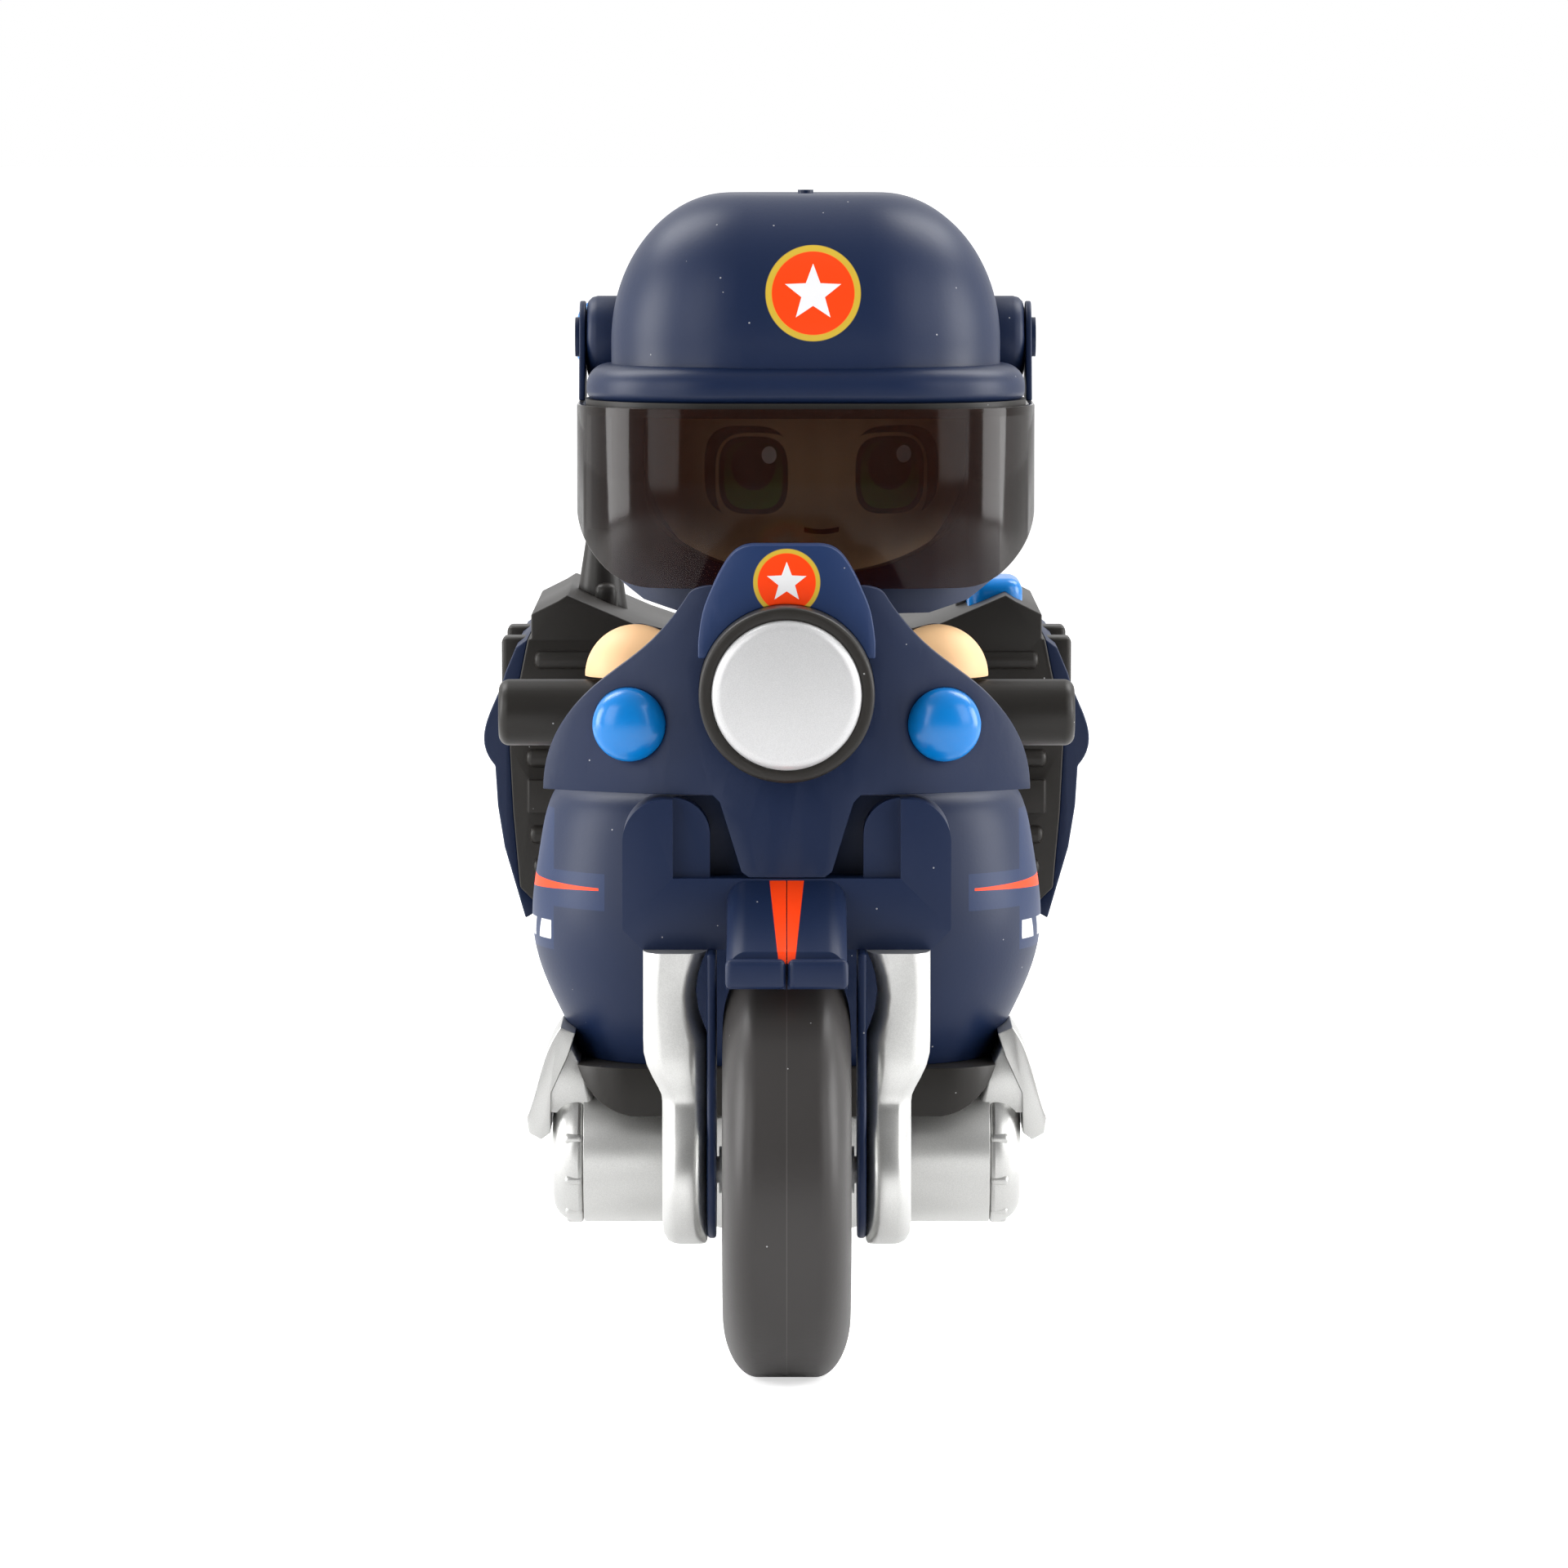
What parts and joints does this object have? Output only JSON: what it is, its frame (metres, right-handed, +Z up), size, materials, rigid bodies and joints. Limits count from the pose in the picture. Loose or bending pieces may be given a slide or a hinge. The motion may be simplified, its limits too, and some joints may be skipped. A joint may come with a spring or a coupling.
{
  "type": "toy motorcycle with rider",
  "caption": "Moulded plastic toy police motorcycle with steering fork, rolling wheels, side cases and a lift-off rider in a helmet with a tilting smoked visor.",
  "frame": {"origin": "on the ground, midway between the front tyre and the back of the side cases, on the machine's centre plane", "axes": "+Z up, the machine faces -Y, +X is the rider's left"},
  "size_m": [0.0726, 0.146, 0.131],
  "materials": {
    "navy": "satin moulded plastic, dyed navy",
    "panel_blue": "satin moulded plastic, a brighter navy",
    "uniform": "matt moulded plastic, dark navy",
    "black": "satin moulded plastic, black",
    "silver": "moulded plastic sprayed with fine metallic silver paint",
    "pearl": "pearl silver paint on a domed disc",
    "lamp_blue": "glossy bright blue plastic",
    "lamp_red": "glossy red plastic",
    "tyre": "satin black plastic with a moulding line round the crown",
    "skin": "smooth peach plastic, printed face",
    "smoke": "clear plastic tinted smoky brown",
    "steel": "plated steel"
  },
  "bodies": {
    "frame": {"chassis": "black", "belly_screws": "steel", "crankcase": "silver", "cylinder_left": "silver", "cylinder_right": "silver", "valve_cover_left": "silver", "valve_cover_right": "silver", "crash_guard_left": "silver", "crash_guard_right": "silver", "exhaust_left": "silver", "exhaust_right": "silver", "cowl_left": "navy", "cowl_right": "navy", "tank_cover": "navy", "seat": "black", "rear_fender": "navy", "rear_rack": "black", "tail_lamp": "lamp_red", "pannier_left": "black", "pannier_right": "black", "case_cover_left": "navy", "case_cover_right": "navy", "rear_lamp": "lamp_blue", "pole_foot": "black", "pole": "navy", "beacon": "lamp_blue", "rear_axle": "steel"},
    "steering": {"yoke": "navy", "steering_pin": "steel", "fork_plate_left": "navy", "fork_plate_right": "navy", "fork_leg_left": "silver", "fork_leg_right": "silver", "front_fender_left": "navy", "front_fender_right": "navy", "fairing": "navy", "fairing_panel": "panel_blue", "headlamp_bezel": "black", "headlamp_lens": "pearl", "aux_lamp_left": "lamp_blue", "aux_lamp_right": "lamp_blue", "handlebar": "black", "front_axle": "steel"},
    "front_wheel": {"front_tyre": "tyre", "front_rim": "silver"},
    "rear_wheel": {"rear_tyre": "tyre", "rear_rim": "silver"},
    "rider": {"torso": "uniform", "arm_left": "uniform", "arm_right": "uniform", "hand_left": "skin", "hand_right": "skin", "leg_left": "uniform", "leg_right": "uniform", "boot_left": "black", "boot_right": "black"},
    "head": {"head": "skin"},
    "helmet": {"helmet": "navy"},
    "visor": {"visor": "smoke", "visor_arms": "navy"}
  },
  "joints": [
    {"name": "steering_turn", "type": "hinge", "parent": "frame", "child": "steering", "pos_m": [0, -0.036, 0.052], "axis": [0, 0, 1], "range_deg": [-12, 12]},
    {"name": "front_wheel_spin", "type": "hinge", "parent": "steering", "child": "front_wheel", "pos_m": [0, -0.05, 0.023], "axis": [1, 0, 0], "continuous": true},
    {"name": "rear_wheel_spin", "type": "hinge", "parent": "frame", "child": "rear_wheel", "pos_m": [0, 0.048, 0.023], "axis": [1, 0, 0], "continuous": true},
    {"name": "rider_lift", "type": "slide", "parent": "frame", "child": "rider", "axis": [0, 0, 1], "range_m": [0, 0.06]},
    {"name": "head_turn", "type": "hinge", "parent": "rider", "child": "head", "pos_m": [0.0022, -0.002, 0.088], "axis": [0, 0, 1], "range_deg": [-45, 45]},
    {"name": "helmet_lift", "type": "slide", "parent": "head", "child": "helmet", "axis": [0, 0, 1], "range_m": [0, 0.045]},
    {"name": "visor_tilt", "type": "hinge", "parent": "helmet", "child": "visor", "pos_m": [0.0022, 0.003, 0.1138], "axis": [-1, 0, 0], "range_deg": [0, 60]}
  ]
}
